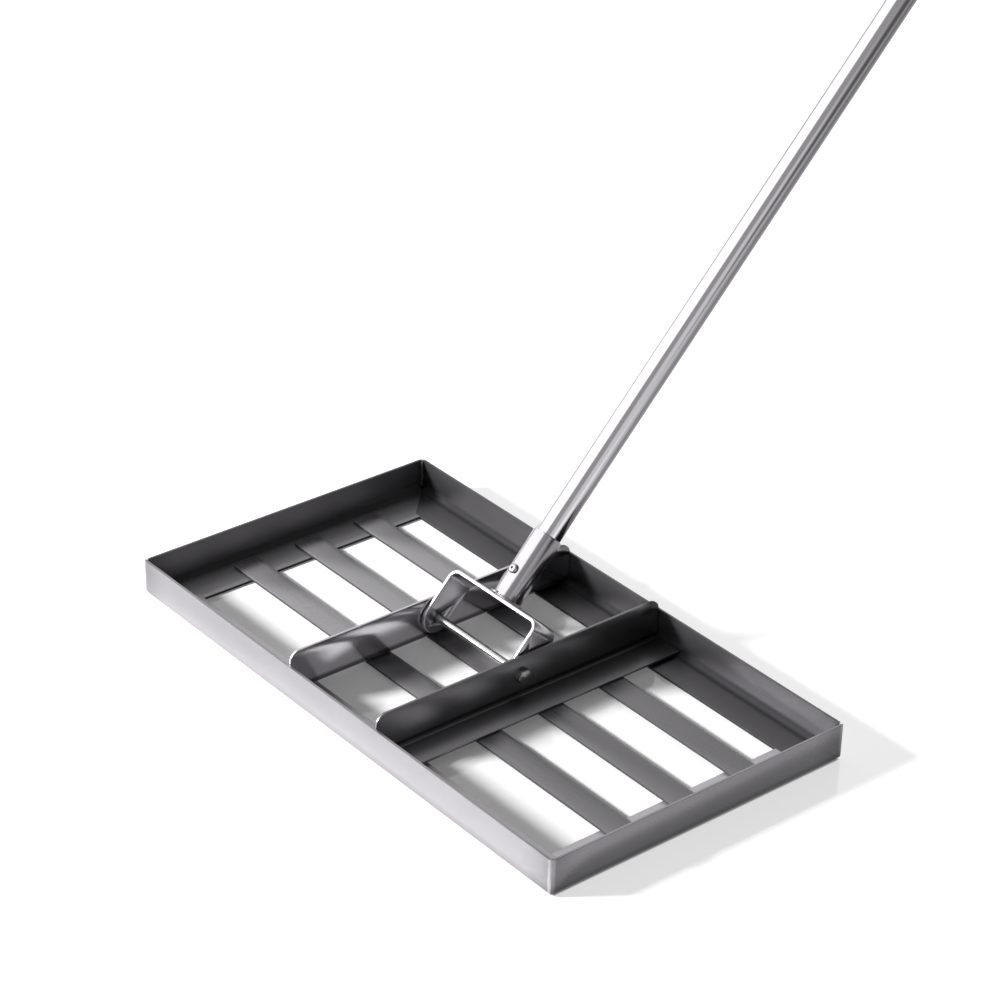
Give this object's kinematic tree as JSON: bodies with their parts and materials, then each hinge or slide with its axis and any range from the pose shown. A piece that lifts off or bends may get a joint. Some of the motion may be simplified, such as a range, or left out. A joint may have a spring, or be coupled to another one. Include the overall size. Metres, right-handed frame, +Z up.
{
  "type": "lawn leveling rake",
  "caption": "Lawn leveling rake: a low rectangular sheet-steel frame with flat slats and upright cross bars, and a screw-together tube handle on a yoke that pivots between the bars.",
  "frame": {"origin": "on the ground under the middle of the whole rake's outline, handle included", "axes": "+Z up, +Y from the head's near wall towards the handle's end as it leans at rest, +X along the head's long side, to the right for somebody who looks along +Y"},
  "size_m": [0.4572, 1.2182, 1.175],
  "materials": {
    "stainless": "smooth cold-rolled",
    "polished_stainless": "polished",
    "plated_steel": "zinc plated",
    "weld": "ground weld",
    "black_plastic": "moulded"
  },
  "bodies": {
    "head": {"near_wall": "stainless", "right_wall": "stainless", "far_wall": "stainless", "left_wall": "stainless", "near_slat": "stainless", "middle_slat": "stainless", "far_slat": "stainless", "left_crossbar": "stainless", "right_crossbar": "stainless", "near_left_weld": "weld", "near_right_weld": "weld", "far_right_weld": "weld", "far_left_weld": "weld", "pivot_bolt": "plated_steel", "pivot_washer": "plated_steel", "pivot_nut": "plated_steel"},
    "handle": {"yoke": "polished_stainless", "socket_weld": "weld", "handle_socket": "polished_stainless", "socket_screw": "plated_steel", "lower_tube": "polished_stainless", "middle_tube": "polished_stainless", "upper_tube": "polished_stainless", "lower_tube_insert": "black_plastic", "middle_tube_insert": "black_plastic", "middle_tube_stud": "black_plastic", "upper_tube_stud": "black_plastic", "end_cap": "black_plastic"}
  },
  "joints": [
    {"name": "handle_pivot", "type": "hinge", "parent": "head", "child": "handle", "pos_m": [-0.004, -0.4821, 0.0218], "axis": [1, 0, 0], "range_deg": [-38.5, 125.5]}
  ]
}
